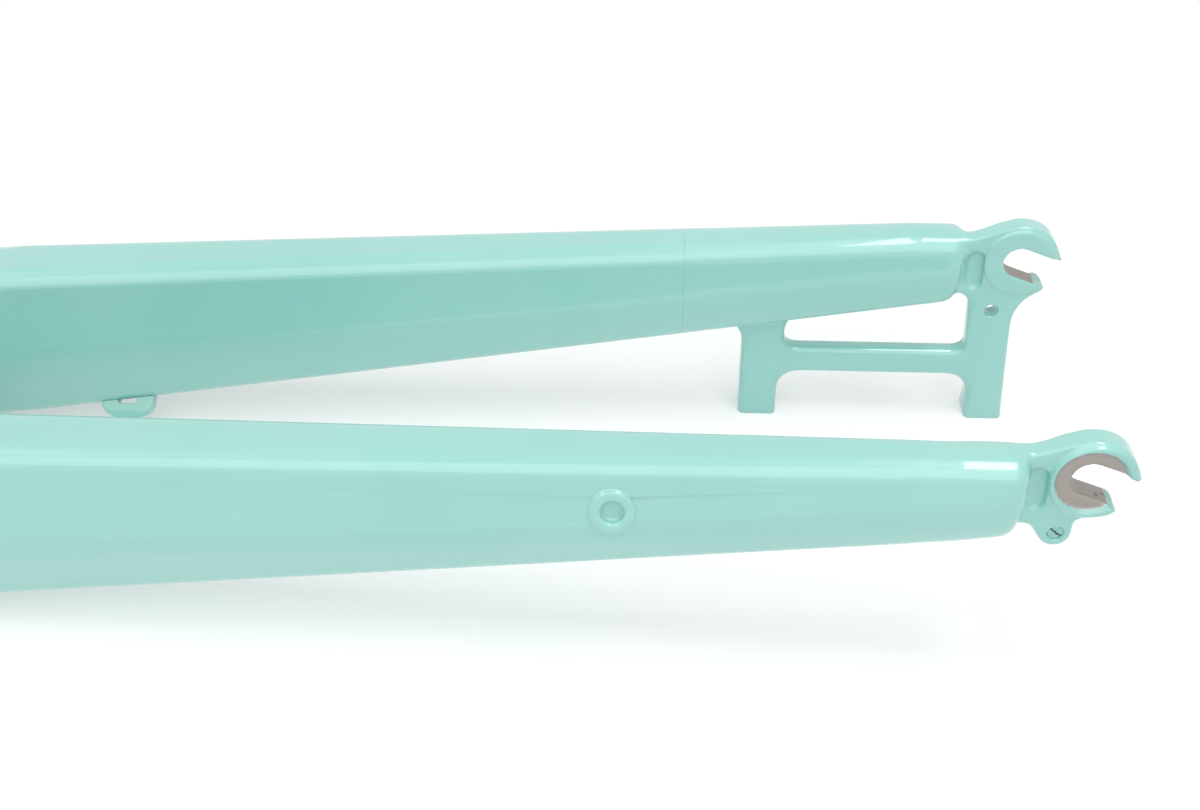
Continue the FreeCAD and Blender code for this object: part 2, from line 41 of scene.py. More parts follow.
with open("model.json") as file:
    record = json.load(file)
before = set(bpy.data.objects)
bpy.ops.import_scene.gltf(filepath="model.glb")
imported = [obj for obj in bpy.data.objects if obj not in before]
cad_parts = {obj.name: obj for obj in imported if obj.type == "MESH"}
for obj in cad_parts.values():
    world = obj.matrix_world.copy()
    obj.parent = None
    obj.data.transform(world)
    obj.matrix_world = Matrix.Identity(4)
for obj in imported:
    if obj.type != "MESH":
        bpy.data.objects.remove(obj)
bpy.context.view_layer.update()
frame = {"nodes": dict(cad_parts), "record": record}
MOUNTS = {mount["name"]: mount for mount in frame["record"]["mounts"]}
BODY = "root"
MM = 0.001


def mount_place(name):
    return Vector(MOUNTS[name]["pos_m"])


def mount_axis(name):
    return Vector(MOUNTS[name]["axis"]).normalized()


def mount_radius(name):
    return MOUNTS[name]["dims"]["r_mm"] * MM


def mount_length(name):
    return MOUNTS[name]["dims"]["length_mm"] * MM


SIDES = {"left": 1, "right": -1}
AXLE = (mount_place("axle_left") + mount_place("axle_right")) / 2
SLOT_WAY = mount_axis("axle_left")
VENT = Vector((-17.0, 48.6, -1.0)) * MM

# Skins: how blades are told from their hollows, and how far each skin overlaps the next before it is cut
MERGE_DISTANCE = 0.001 * MM
RIM_TOLERANCE = 0.01 * MM
END_SLOPE = 0.9
BOSS_HOLE_REACH = 4.1 * MM
BOSS_HOLE_DEPTH = 9.5 * MM
OVERLAP_GRAINS = 4

# Softness: crisp at the first distance or height and soft at the second, and crisp where skins are cut
SLOT_FADE = (12.4 * MM, 15.0 * MM)
EYELET_FADE = (3.0 * MM, 5.0 * MM)
VENT_FADE = (1.6 * MM, 3.4 * MM)
FEET_FADE = (0.5 * MM, 4.0 * MM)
RACE_FADE = (-6 * MM, -14 * MM)
CROWN_HOLE_FADE = (4 * MM, 7 * MM)
CUT_FADE = 8 * MM

# Posts: heights from the axle between which they turn crisper, and by how much
POST_FADE = (-18 * MM, -26 * MM)
POST_CRISPNESS = 0.55

# Angles in degrees above which an edge is shaded sharp
BLADE_CREASE = 40
SKIN_CREASE = 60
RING_CREASE = 50
TUBE_CREASE = 30

# Rack bosses
BOSS_RADIUS = 6.0 * MM
BOSS_HEIGHT = 1.2 * MM
BOSS_MOUTH = 3.2 * MM
BOSS_MOUTH_DEPTH = 1.05 * MM
BOSS_MOUTH_DRAFT = 0.15 * MM
BOSS_THROAT = 0.6 * MM
BOSS_CHAMFER = 0.3 * MM
BOSS_TAP_START = 1.2 * MM
BOSS_WELD = 0.6 * MM
BOSS_WELD_FOOT = 0.02 * MM
BOSS_SINK = 1.0 * MM
TAP_WALL_SHARE = 0.8
TAP_END_SHARE = 0.85
TAP_POINT_SHARE = 0.4
RING_STEPS = 6
TURNED_SIDES = 64

# Paint film in the eyelet: ripples are (share of the hole's radius, height in millimetres)
FILM_SETBACK = 0.9 * MM
FILM_RIPPLES = (
    (0.97, -0.5), (0.97, 0.0), (0.8, 0.15), (0.62, -0.1), (0.42, 0.12), (0.22, -0.05), (0.05, 0.05),
)
FILM_WRINKLE = 0.09 * MM
FILM_SEED = 4
FILM_BUMP_WIDTH = 0.5 * MM
FILM_BUMP_DEPTH = 0.05 * MM
# The slit across the film is a band of painted shade for the hole seen through the tear
SLIT_ACROSS = Vector((0.6, 0.0, 0.8))
SLIT_EDGE = (0.32 * MM, 0.18 * MM)
SLIT_WAVER_WIDTH = 1.0 * MM
SLIT_WAVER = 1.2 * MM

# Paint and bare alloy: widths of noise, bands of it that are turned into a mask, and edges of masks
DRIFT_WIDTH = 60 * MM
DRIFT_BAND = (0.35, 0.65)
RUN_PEELS = 4
RAG_WIDTH = 1.3 * MM
RAG_DEPTH = 0.9 * MM
BARE_DEPTH = (50.35 * MM, 50.8 * MM)
HOOK_WALL_FOOT = (0.0, 1.0 * MM)
HOOK_WALL_START = (-1.0 * MM, 0.0)
HOOK_WALL_END = (11.0 * MM, 10.0 * MM)
STAIN_WIDTH = 3.5 * MM
STAIN_BAND = (0.58, 0.70)
STAIN_START = (1.0 * MM, 4.0 * MM)
STAIN_DEPTH = (56.6 * MM, 56.0 * MM)
GRAIN_WIDTH = 0.25 * MM
GRAIN_BAND = (0.3, 0.7)
GRAIN_SHADE = 0.8
GRAIN_HEIGHT = 2
BARE_METAL = 0.85
# Edge of the painted shade in the vent mouths: full within the second distance, none beyond the first
VENT_SHADE_EDGE = (1.3 * MM, 0.8 * MM)
TURNING_STRETCH = (1.0, 0.02, 0.02)
TURNING_WIDTH = 0.35 * MM
TURNING_BAND = (0.3, 0.7)
TURNING_DEPTH = 0.003 * MM
TURNING_ROUGHNESS = 0.2

# Stage
FORK_MIDDLE = (-0.15, 0, 0)
FLOOR_SIZE = 8
FLOOR_CELLS = 8
FLOOR_ROUGHNESS = 0.9
SENSOR_WIDTH = 36.0
CLIP_START = 0.01


def vent_place(side):
    """Mouth of the vent on a dropout's inner shoulder."""
    return AXLE + Vector((VENT.x, VENT.y * SIDES[side], VENT.z))


class PaintLook(bpy.types.PropertyGroup):
    """Gloss paint of the fork."""

    mint: bpy.props.FloatVectorProperty(
        name="Mint", description="Colour of the paint", subtype="COLOR", size=3,
        default=(0.318, 0.680, 0.615), min=0, max=1,
    )
    pale: bpy.props.FloatVectorProperty(
        name="Pale drift", description="Colour that the paint drifts to where it lies thick",
        subtype="COLOR", size=3, default=(0.345, 0.700, 0.637), min=0, max=1,
    )
    # The speck colour serves for the dust specks, and also as painted shade in the vent mouths and in the
    # slit of the eyelet film
    speck_and_shade: bpy.props.FloatVectorProperty(
        name="Speck", description="Colour of the dust specks in the paint", subtype="COLOR", size=3,
        default=(0.05, 0.09, 0.08), min=0, max=1,
    )
    speck_share: bpy.props.FloatProperty(
        name="Speck share", description="Share of the speck cells that hold a speck", subtype="FACTOR",
        default=0.05, min=0, max=1,
    )
    speck_size: bpy.props.FloatProperty(
        name="Speck size", description="Radius of a dust speck", unit="LENGTH", default=0.22 * MM,
        min=0,
    )
    speck_spacing: bpy.props.FloatProperty(
        name="Speck spacing", description="Width of a speck cell", unit="LENGTH", default=5 * MM,
        min=0.1 * MM,
    )
    roughness: bpy.props.FloatProperty(
        name="Roughness", description="Roughness of the colour coat", subtype="FACTOR", default=0.32,
        min=0, max=1,
    )
    coat_roughness: bpy.props.FloatProperty(
        name="Coat roughness", description="Roughness of the clear coat", subtype="FACTOR",
        default=0.035, min=0, max=1,
    )
    peel_size: bpy.props.FloatProperty(
        name="Peel size", description="Width of a ripple of the orange peel", unit="LENGTH",
        default=1.6 * MM, min=0.1 * MM,
    )
    peel_depth: bpy.props.FloatProperty(
        name="Peel depth", description="Depth of the orange peel", unit="LENGTH", default=0.007 * MM,
        min=0,
    )
    run_share: bpy.props.FloatProperty(
        name="Run share", description="Depth of the slow runs in the paint, against the orange peel",
        default=3.0, min=0,
    )


class BareLook(bpy.types.PropertyGroup):
    """Bare alloy where the paint was masked off."""

    alloy: bpy.props.FloatVectorProperty(
        name="Alloy", description="Colour of the blasted bare alloy", subtype="COLOR", size=3,
        default=(0.42, 0.385, 0.355), min=0, max=1,
    )
    stain: bpy.props.FloatVectorProperty(
        name="Stain", description="Colour of the stains in the axle slot", subtype="COLOR", size=3,
        default=(0.13, 0.11, 0.075), min=0, max=1,
    )
    mask_radius: bpy.props.FloatProperty(
        name="Mask radius", description="Radius of the disc that kept the paint off the recess",
        unit="LENGTH", default=8.95 * MM, min=0,
    )
    mask_softness: bpy.props.FloatProperty(
        name="Mask softness", description="Width of the overspray at the edge of the mask",
        unit="LENGTH", default=0.45 * MM, min=0.01 * MM,
    )
    slot_half: bpy.props.FloatProperty(
        name="Slot half",
        description="Distance from the middle of the axle slot to where its bare walls end",
        unit="LENGTH", default=5.2 * MM, min=0,
    )
    turned_dark: bpy.props.FloatVectorProperty(
        name="Turned dark", description="Colour of the steerer in its turning marks", subtype="COLOR",
        size=3, default=(0.50, 0.49, 0.48), min=0, max=1,
    )
    turned_light: bpy.props.FloatVectorProperty(
        name="Turned light", description="Colour of the steerer between its turning marks",
        subtype="COLOR", size=3, default=(0.58, 0.57, 0.56), min=0, max=1,
    )
    roughness: bpy.props.FloatProperty(
        name="Roughness", description="Roughness of the bare alloy", subtype="FACTOR", default=0.5,
        min=0, max=1,
    )


class SkinShape(bpy.types.PropertyGroup):
    """How paint and welds round the edges of the metal."""

    dropout_grain: bpy.props.FloatProperty(
        name="Dropout grain", description="Mesh size of the dropouts' painted skin", unit="LENGTH",
        default=0.46 * MM, min=0.1 * MM,
    )
    crown_grain: bpy.props.FloatProperty(
        name="Crown grain", description="Mesh size of the crown's painted skin", unit="LENGTH",
        default=0.9 * MM, min=0.2 * MM,
    )
    small_grain: bpy.props.FloatProperty(
        name="Small grain", description="Mesh size of the hose guide's painted skin", unit="LENGTH",
        default=0.2 * MM, min=0.05 * MM,
    )
    paint_passes: bpy.props.IntProperty(
        name="Paint passes", description="Smoothing passes that round every edge as paint does",
        default=4, min=0,
    )
    weld_passes: bpy.props.IntProperty(
        name="Weld passes", description="Smoothing passes over welds and forged edges", default=64,
        min=0,
    )
    crown_passes: bpy.props.IntProperty(
        name="Crown passes", description="Smoothing passes over the crown's forged arch", default=70,
        min=0,
    )
    tip_reach: bpy.props.FloatProperty(
        name="Tip reach",
        description="Length of blade that is skinned in one with the crown or a dropout", unit="LENGTH",
        default=16 * MM, min=5 * MM,
    )


class StudioSetup(bpy.types.PropertyGroup):
    """Camera, floor and lamps."""

    camera_offset: bpy.props.FloatVectorProperty(
        name="Camera offset", description="Place of the camera from the middle of the axle",
        unit="LENGTH", size=3, default=(-112.7 * MM, -387.1 * MM, 260.6 * MM),
    )
    pitch: bpy.props.FloatProperty(
        name="Pitch", description="Angle that the camera looks down", unit="ROTATION",
        default=math.radians(36.0),
    )
    yaw: bpy.props.FloatProperty(
        name="Yaw", description="Angle that the camera turns to the right", unit="ROTATION",
        default=math.radians(-2.2),
    )
    roll: bpy.props.FloatProperty(
        name="Roll", description="Angle that the camera leans", unit="ROTATION",
        default=math.radians(-0.06),
    )
    lens: bpy.props.FloatProperty(
        name="Lens", description="Focal length on a 36 mm wide sensor, in millimetres", default=49.0,
        min=1,
    )
    floor_colour: bpy.props.FloatVectorProperty(
        name="Floor", description="Colour of the floor", subtype="COLOR", size=3,
        default=(0.90, 0.905, 0.91), min=0, max=1,
    )
    floor_glow: bpy.props.FloatProperty(
        name="Floor glow", description="White that the camera adds to the floor", default=0.45, min=0,
    )
    shadow_depth: bpy.props.FloatProperty(
        name="Shadow depth", description="Share of the floor's light that the camera sees as shaded",
        subtype="FACTOR", default=0.72, min=0, max=1,
    )
    sky: bpy.props.FloatProperty(
        name="Sky", description="Strength of the even light from all round", default=0.38, min=0,
    )
    right_place: bpy.props.FloatVectorProperty(
        name="Right box place", description="Middle of the right soft box, from the middle of the axle",
        unit="LENGTH", size=3, default=(0.30, -0.17, 1.2),
    )
    right_size: bpy.props.FloatVectorProperty(
        name="Right box size", description="Width and length of the right soft box", unit="LENGTH",
        size=2, default=(0.35, 0.75), min=0.01,
    )
    right_radiance: bpy.props.FloatProperty(
        name="Right box light", description="Brightness of the right soft box, where white is 1",
        default=8.0, min=0,
    )
    left_place: bpy.props.FloatVectorProperty(
        name="Left box place", description="Middle of the left soft box, from the middle of the axle",
        unit="LENGTH", size=3, default=(-1.12, -0.05, 1.2),
    )
    left_size: bpy.props.FloatVectorProperty(
        name="Left box size", description="Width and length of the left soft box", unit="LENGTH",
        size=2, default=(0.33, 0.7), min=0.01,
    )
    left_radiance: bpy.props.FloatProperty(
        name="Left box light", description="Brightness of the left soft box, where white is 1",
        default=8.0, min=0,
    )
    front_place: bpy.props.FloatVectorProperty(
        name="Front box place", description="Middle of the front soft box, from the middle of the axle",
        unit="LENGTH", size=3, default=(-0.15, -1.05, 1.0),
    )
    front_size: bpy.props.FloatVectorProperty(
        name="Front box size", description="Width and height of the front soft box", unit="LENGTH",
        size=2, default=(1.8, 1.0), min=0.01,
    )
    front_radiance: bpy.props.FloatProperty(
        name="Front box light", description="Brightness of the front soft box, where white is 1",
        default=1.3, min=0,
    )


def look(name):
    return getattr(bpy.context.scene, "fork_" + name)


# Shader expressions


class Sock:
    """A shader socket that takes part in Python expressions: each expression adds its Math nodes."""

    def __init__(self, shader, socket):
        self.shader = shader
        self.socket = socket

    def math(self, operation, *values):
        return self.shader.node("ShaderNodeMath", {"operation": operation}, dict(enumerate(values)))["Value"]

    def __add__(self, other):
        return self.math("ADD", self, other)

    def __radd__(self, other):
        return self.math("ADD", other, self)

    def __sub__(self, other):
        return self.math("SUBTRACT", self, other)

    def __rsub__(self, other):
        return self.math("SUBTRACT", other, self)

    def __mul__(self, other):
        return self.math("MULTIPLY", self, other)

    def __rmul__(self, other):
        return self.math("MULTIPLY", other, self)

    def __lt__(self, other):
        return self.math("LESS_THAN", self, other)

    def __gt__(self, other):
        return self.math("GREATER_THAN", self, other)

    def __abs__(self):
        return self.math("ABSOLUTE", self)

    def larger(self, other):
        return self.math("MAXIMUM", self, other)

    def root(self):
        return self.math("SQRT", self)

    def rise(self, low, high):
        """0 below low, 1 above high and a smooth step between; low may be the greater one."""
        settings = {"interpolation_type": "SMOOTHSTEP"}
        values = {"Value": self, "From Min": low, "From Max": high}
        return self.shader.node("ShaderNodeMapRange", settings, values)["Result"]


class Outputs:
    """Output sockets of a node, by name."""

    def __init__(self, shader, node):
        self.shader = shader
        self.node = node

    def __getitem__(self, name):
        return Sock(self.shader, self.node.outputs[name])


class Shader:
    """The empty node tree of a new material or world, and the one method that adds nodes to it."""

    def __init__(self, holder):
        holder.use_nodes = True
        self.holder = holder
        self.tree = holder.node_tree
        self.tree.nodes.clear()

    def node(self, kind, settings=None, values=None):
        """Adds a node: its settings are set first, then its sockets get values or links."""
        node = self.tree.nodes.new(kind)
        for name, value in (settings or {}).items():
            setattr(node, name, value)
        for key, value in (values or {}).items():
            if isinstance(value, Sock):
                self.tree.links.new(value.socket, node.inputs[key])
            else:
                node.inputs[key].default_value = value
        return Outputs(self, node)

    def place(self):
        """Object coordinates, which are the fork's own frame, in metres."""
        return self.node("ShaderNodeTexCoord")["Object"]

    def shifted(self, place, offset):
        settings = {"operation": "SUBTRACT"}
        return self.node("ShaderNodeVectorMath", settings, {0: place, 1: offset})["Vector"]

    def parts(self, place):
        out = self.node("ShaderNodeSeparateXYZ", values={"Vector": place})
        return out["X"], out["Y"], out["Z"]

    def noise(self, place, width, detail=2.0):
        values = {"Vector": place, "Scale": 1 / width, "Detail": detail}
        return self.node("ShaderNodeTexNoise", values=values)["Fac"]

    def mix(self, share, first, second):
        """Colour from first to second."""
        settings = {"data_type": "RGBA"}
        values = {0: share, 6: first, 7: second}
        out = self.node("ShaderNodeMix", settings, values)
        return Sock(self, out.node.outputs[2])

    def bump(self, height, distance):
        values = {"Height": height, "Distance": distance, "Strength": 1.0}
        return self.node("ShaderNodeBump", values=values)["Normal"]

    def finish(self, values):
        surface = self.node("ShaderNodeBsdfPrincipled", values=values)["BSDF"]
        self.node("ShaderNodeOutputMaterial", values={"Surface": surface})
        return self.holder


def rgba(colour):
    return (colour[0], colour[1], colour[2], 1.0)


# Finishes


def dust_specks(shader, place, paint):
    """Mask of the sparse dust specks in the paint."""
    values = {"Vector": place, "Scale": 1 / paint.speck_spacing}
    cells = shader.node("ShaderNodeTexVoronoi", {"feature": "F1"}, values)
    chance = shader.node("ShaderNodeSeparateColor", values={"Color": cells["Color"]})
    held = chance["Red"] < paint.speck_share
    radius = chance["Green"] * (paint.speck_size / paint.speck_spacing)
    return held * (cells["Distance"] < radius)


def paint_colour(shader, place, paint):
    """Mint that drifts slowly to its paler shade, with dust specks."""
    drift = shader.noise(place, DRIFT_WIDTH).rise(*DRIFT_BAND)
    colour = shader.mix(drift, rgba(paint.mint), rgba(paint.pale))
    return shader.mix(dust_specks(shader, place, paint), colour, rgba(paint.speck_and_shade))


def orange_peel(shader, place, paint):
    """Height of the paint: fine orange peel on slow runs of thicker paint."""
    runs = shader.noise(place, RUN_PEELS * paint.peel_size, detail=1.0)
    return shader.noise(place, paint.peel_size) + runs * paint.run_share


def gloss_paint(name):
    """Gloss mint paint, for the pieces that are painted all over."""
    paint = look("paint")
    shader = Shader(bpy.data.materials.new(name))
    place = shader.place()
    return shader.finish({
        "Base Color": paint_colour(shader, place, paint),
        "Roughness": paint.roughness,
        "Coat Weight": 1.0,
        "Coat Roughness": paint.coat_roughness,
        "Normal": shader.bump(orange_peel(shader, place, paint), paint.peel_depth),
    })


def vent_painted_shade(shader, place, side):
    """Mask of the painted shade in the mouth of a dropout's vent."""
    from_vent = shader.shifted(place, vent_place(side))
    distance = shader.node("ShaderNodeVectorMath", {"operation": "LENGTH"}, {0: from_vent})["Value"]
    return distance.rise(*VENT_SHADE_EDGE)


def dropout_paint(name, side):
    """Gloss mint paint with the bare alloy of the axle slot and of the recess round it, and painted shade in
    the vent's mouth.
    """
    paint = look("paint")
    bare = look("bare")
    shader = Shader(bpy.data.materials.new(name))
    place = shader.place()
    x, y, z = shader.parts(shader.shifted(place, AXLE))
    depth = y * SIDES[side]
    along = x * SLOT_WAY.x + z * SLOT_WAY.z
    upward = z * SLOT_WAY.x - x * SLOT_WAY.z

    ragged = (shader.noise(place, RAG_WIDTH, detail=3.0) - 0.5) * RAG_DEPTH
    reach = (x * x + z * z).root() + ragged
    recess = reach.rise(bare.mask_radius + bare.mask_softness, bare.mask_radius)
    hook_wall = upward.rise(*HOOK_WALL_FOOT)
    hook_wall = hook_wall * upward.rise(bare.slot_half + bare.mask_softness, bare.slot_half)
    hook_wall = hook_wall * along.rise(*HOOK_WALL_START) * (along + ragged * 2).rise(*HOOK_WALL_END)
    masked = recess.larger(hook_wall) * depth.rise(*BARE_DEPTH)

    grain = shader.noise(place, GRAIN_WIDTH, detail=3.0)
    dark_grain = rgba([GRAIN_SHADE * part for part in bare.alloy])
    alloy = shader.mix(grain.rise(*GRAIN_BAND), dark_grain, rgba(bare.alloy))
    stains = shader.noise(place, STAIN_WIDTH, detail=4.0).rise(*STAIN_BAND)
    stains = stains * along.rise(*STAIN_START) * depth.rise(*STAIN_DEPTH)
    alloy = shader.mix(stains, alloy, rgba(bare.stain))

    # The vent's mouth is darkened to the speck colour: painted shade for the hole
    vent = vent_painted_shade(shader, place, side)
    colour = shader.mix(vent, paint_colour(shader, place, paint), rgba(paint.speck_and_shade))
    height = orange_peel(shader, place, paint) * (1 - masked) + grain * masked * GRAIN_HEIGHT
    return shader.finish({
        "Base Color": shader.mix(masked, colour, alloy),
        "Metallic": masked * BARE_METAL,
        "Roughness": masked * (bare.roughness - paint.roughness) + paint.roughness,
        "Coat Weight": 1 - masked,
        "Coat Roughness": paint.coat_roughness,
        "Normal": shader.bump(height, paint.peel_depth),
    })


def film_paint(name, middle):
    """Gloss mint paint with a slit that tore open in it as it dried, painted dark as the shade of the hole
    behind it.
    """
    paint = look("paint")
    shader = Shader(bpy.data.materials.new(name))
    place = shader.place()
    x, _, z = shader.parts(shader.shifted(place, middle))
    waver = (shader.noise(place, SLIT_WAVER_WIDTH) - 0.5) * SLIT_WAVER
    # The slit is painted shade: the dark of the eyelet's hole seen through the tear
    slit_shade = abs(x * SLIT_ACROSS.x + z * SLIT_ACROSS.z + waver).rise(*SLIT_EDGE)
    return shader.finish({
        "Base Color": shader.mix(slit_shade, paint_colour(shader, place, paint), rgba(paint.speck_and_shade)),
        "Roughness": paint.roughness,
        "Coat Weight": 1 - slit_shade,
        "Coat Roughness": paint.coat_roughness,
        "Normal": shader.bump(shader.noise(place, FILM_BUMP_WIDTH), FILM_BUMP_DEPTH),
    })


def satin_alloy(name):
    """Bare turned alloy of the steerer, with fine marks round it."""
    bare = look("bare")
    shader = Shader(bpy.data.materials.new(name))
    values = {"Vector": shader.place(), "Scale": TURNING_STRETCH}
    rings = shader.node("ShaderNodeMapping", values=values)["Vector"]
    marks = shader.noise(rings, TURNING_WIDTH, detail=3.0)
    return shader.finish({
        "Base Color": shader.mix(marks.rise(*TURNING_BAND), rgba(bare.turned_dark), rgba(bare.turned_light)),
        "Metallic": 1.0,
        "Roughness": marks * TURNING_ROUGHNESS + (bare.roughness - TURNING_ROUGHNESS),
        "Normal": shader.bump(marks, TURNING_DEPTH),
    })


# Mesh tools


def activate(piece):
    bpy.ops.object.select_all(action="DESELECT")
    piece.select_set(True)
    bpy.context.view_layer.objects.active = piece


def merged_copy(node, name):
    """New piece with a copy of a CAD node's mesh, its doubled vertices merged."""
    mesh = frame["nodes"][node].data.copy()
    mesh.materials.clear()
    mesh.name = name
    piece = bpy.data.objects.new(name, mesh)
    bpy.context.scene.collection.objects.link(piece)
    activate(piece)
    bpy.ops.object.mode_set(mode="EDIT")
    bpy.ops.mesh.select_all(action="SELECT")
    bpy.ops.mesh.remove_doubles(threshold=MERGE_DISTANCE)
    bpy.ops.object.mode_set(mode="OBJECT")
    return piece


def apply_modifier(piece, name, kind, **settings):
    activate(piece)
    modifier = piece.modifiers.new(name, kind)
    for key, value in settings.items():
        setattr(modifier, key, value)
    bpy.ops.object.modifier_apply(modifier=modifier.name)


def step(value, low, high):
    """0 at low, 1 at high and a smooth step between."""
    share = min(max((value - low) / (high - low), 0), 1)
    return share * share * (3 - 2 * share)


def cut_off(piece, x, way):
    """Cuts a piece flat across the fork and drops what lies beyond, towards way."""
    activate(piece)
    bpy.ops.object.mode_set(mode="EDIT")
    bpy.ops.mesh.select_all(action="SELECT")
    bpy.ops.mesh.bisect(plane_co=(x, 0, 0), plane_no=(way, 0, 0), use_fill=True, clear_outer=True)
    bpy.ops.object.mode_set(mode="OBJECT")


def from_line(place, seat, way):
    """Distance of a place from the line through a seat along way."""
    offset = place - seat
    return (offset - way * offset.dot(way)).length


def blade_skin(side, name):
    """Outer skin of a blade, closed at both ends and sunk at its boss hole, without its hollow."""
    piece = merged_copy(side + "_blade", name)
    points = [vertex.co for vertex in piece.data.vertices]
    ends = []
    for x in (min(p.x for p in points), max(p.x for p in points)):
        rim = [p for p in points if abs(p.x - x) < RIM_TOLERANCE]
        ends.append(sum(rim, Vector()) / len(rim))
    top, tip = ends
    boss = mount_place("boss_" + side)
    boss_way = mount_axis("boss_" + side)

    def in_hole(face):
        return from_line(face.center, boss, boss_way) < BOSS_HOLE_REACH

    bpy.ops.object.mode_set(mode="EDIT")
    bpy.ops.mesh.select_mode(type="FACE")
    bpy.ops.mesh.select_all(action="DESELECT")
    bpy.ops.object.mode_set(mode="OBJECT")
    for face in piece.data.polygons:
        share = (face.center.x - top.x) / (tip.x - top.x)
        outward = face.center - top.lerp(tip, share)
        at_end = abs(face.normal.x) > END_SLOPE
        face.select = at_end or face.normal.dot(outward) < 0 or in_hole(face)
    bpy.ops.object.mode_set(mode="EDIT")
    bpy.ops.mesh.delete(type="FACE")
    bpy.ops.mesh.select_all(action="SELECT")
    bpy.ops.mesh.fill_holes(sides=0)
    bpy.ops.mesh.select_all(action="DESELECT")
    bpy.ops.object.mode_set(mode="OBJECT")
    for face in piece.data.polygons:
        face.select = in_hole(face)
    bpy.ops.object.mode_set(mode="EDIT")
    bpy.ops.mesh.extrude_region()
    bpy.ops.transform.translate(value=boss_way * -BOSS_HOLE_DEPTH)
    bpy.ops.mesh.select_all(action="SELECT")
    bpy.ops.mesh.normals_make_consistent(inside=False)
    bpy.ops.object.mode_set(mode="OBJECT")
    return piece


def join_into(piece, others):
    activate(piece)
    for other in others:
        other.select_set(True)
    bpy.ops.object.join()


def soften(piece, grain, paint_passes, soft_passes=0, softness=None):
    """Even skin of small faces: soft passes round welds by softness, paint passes round every edge."""
    apply_modifier(piece, "Even skin", "REMESH", mode="VOXEL", voxel_size=grain)
    if soft_passes:
        group = piece.vertex_groups.new(name="soft")
        for vertex in piece.data.vertices:
            group.add([vertex.index], softness(vertex.co), "REPLACE")
        apply_modifier(piece, "Welds", "SMOOTH", factor=0.5, iterations=soft_passes, vertex_group="soft")
        piece.vertex_groups.clear()
    apply_modifier(piece, "Paint", "SMOOTH", factor=0.5, iterations=paint_passes)


def shade(piece, angle, by_area=False):
    activate(piece)
    bpy.ops.object.shade_smooth_by_angle(angle=math.radians(angle))
    if by_area:
        settings = {"mode": "FACE_AREA", "weight": 100, "keep_sharp": True}
        apply_modifier(piece, "Even shading", "WEIGHTED_NORMAL", **settings)


def turned(name, steps, seat, way):
    """Turned piece: a disc drawn out ring by ring through steps (radius, height) above its seat."""
    bpy.ops.object.select_all(action="DESELECT")
    radius, height = steps[0]
    bpy.ops.mesh.primitive_circle_add(
        vertices=TURNED_SIDES, radius=radius, fill_type="NGON", location=(0, 0, height),
    )
    piece = bpy.context.active_object
    piece.name = name
    piece.data.name = name
    bpy.ops.object.transform_apply(location=True, rotation=True, scale=True)
    bpy.ops.object.mode_set(mode="EDIT")
    bpy.ops.mesh.select_all(action="SELECT")
    for new_radius, new_height in steps[1:]:
        bpy.ops.mesh.extrude_region()
        bpy.ops.transform.translate(value=(0, 0, new_height - height))
        ratio = new_radius / radius
        bpy.ops.transform.resize(value=(ratio, ratio, 1), center_override=(0, 0, new_height))
        radius, height = new_radius, new_height
    bpy.ops.mesh.select_all(action="SELECT")
    bpy.ops.mesh.normals_make_consistent(inside=False)
    bpy.ops.object.mode_set(mode="OBJECT")
    piece.matrix_world = Matrix.Translation(seat) @ way.to_track_quat("Z", "Y").to_matrix().to_4x4()
    bpy.ops.object.transform_apply(location=True, rotation=True, scale=True)
    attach(piece, BODY)
    return piece


def wear(piece, material):
    piece.data.materials.clear()
    piece.data.materials.append(material)


# Pieces


def tip_cut(side):
    """Where the skin of a blade ends and the skin of its dropout begins."""
    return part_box(side + "_dropout")[0][0] - look("skin").tip_reach


def top_cut():
    """Where the skin of the crown ends and the skins of the blades begin."""
    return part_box("crown")[1][0] + look("skin").tip_reach


def as_node(piece, node):
    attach(piece, BODY)
    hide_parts(node)


class FORK_OT_blades(bpy.types.Operator):
    """Painted skins of both blades, between the crown's and the dropouts' skins"""

    bl_idname = "fork.blades"
    bl_label = "Blades"

    def execute(self, context):
        for side in SIDES:
            node = side + "_blade"
            piece = blade_skin(side, node + "_skin")
            cut_off(piece, tip_cut(side), 1)
            cut_off(piece, top_cut(), -1)
            shade(piece, BLADE_CREASE, by_area=True)
            wear(piece, gloss_paint(node + "_paint"))
            as_node(piece, node)
        return {"FINISHED"}


def dropout_softness(side):
    """How far the welds and forged edges at a place are rounded; machined faces stay crisp."""
    eyelet = mount_place("eyelet_" + side)
    vent = vent_place(side)
    cut = tip_cut(side)

    def softness(place):
        from_axle = math.hypot(place.x - AXLE.x, place.z - AXLE.z)
        from_eyelet = math.hypot(place.x - eyelet.x, place.z - eyelet.z)
        share = step(from_axle, *SLOT_FADE)
        share *= step(from_eyelet, *EYELET_FADE)
        share *= step((place - vent).length, *VENT_FADE)
        share *= step(place.z, *FEET_FADE)
        share *= 1 - POST_CRISPNESS * step(place.z - AXLE.z, *POST_FADE)
        return share * step(place.x, cut, cut + CUT_FADE)

    return softness


class FORK_OT_dropouts(bpy.types.Operator):
    """Painted skins of both dropouts and of the blades' tips, with the bare axle slots"""

    bl_idname = "fork.dropouts"
    bl_label = "Dropouts"

    def execute(self, context):
        shape = look("skin")
        for side in SIDES:
            node = side + "_dropout"
            piece = merged_copy(node, node + "_skin")
            blade = blade_skin(side, side + "_tip")
            cut = tip_cut(side)
            cut_off(blade, cut - OVERLAP_GRAINS * shape.dropout_grain, -1)
            join_into(piece, [blade])
            soften(piece, shape.dropout_grain, shape.paint_passes, shape.weld_passes, dropout_softness(side))
            cut_off(piece, cut, -1)
            shade(piece, SKIN_CREASE)
            wear(piece, dropout_paint(node + "_paint", side))
            as_node(piece, node)
        return {"FINISHED"}


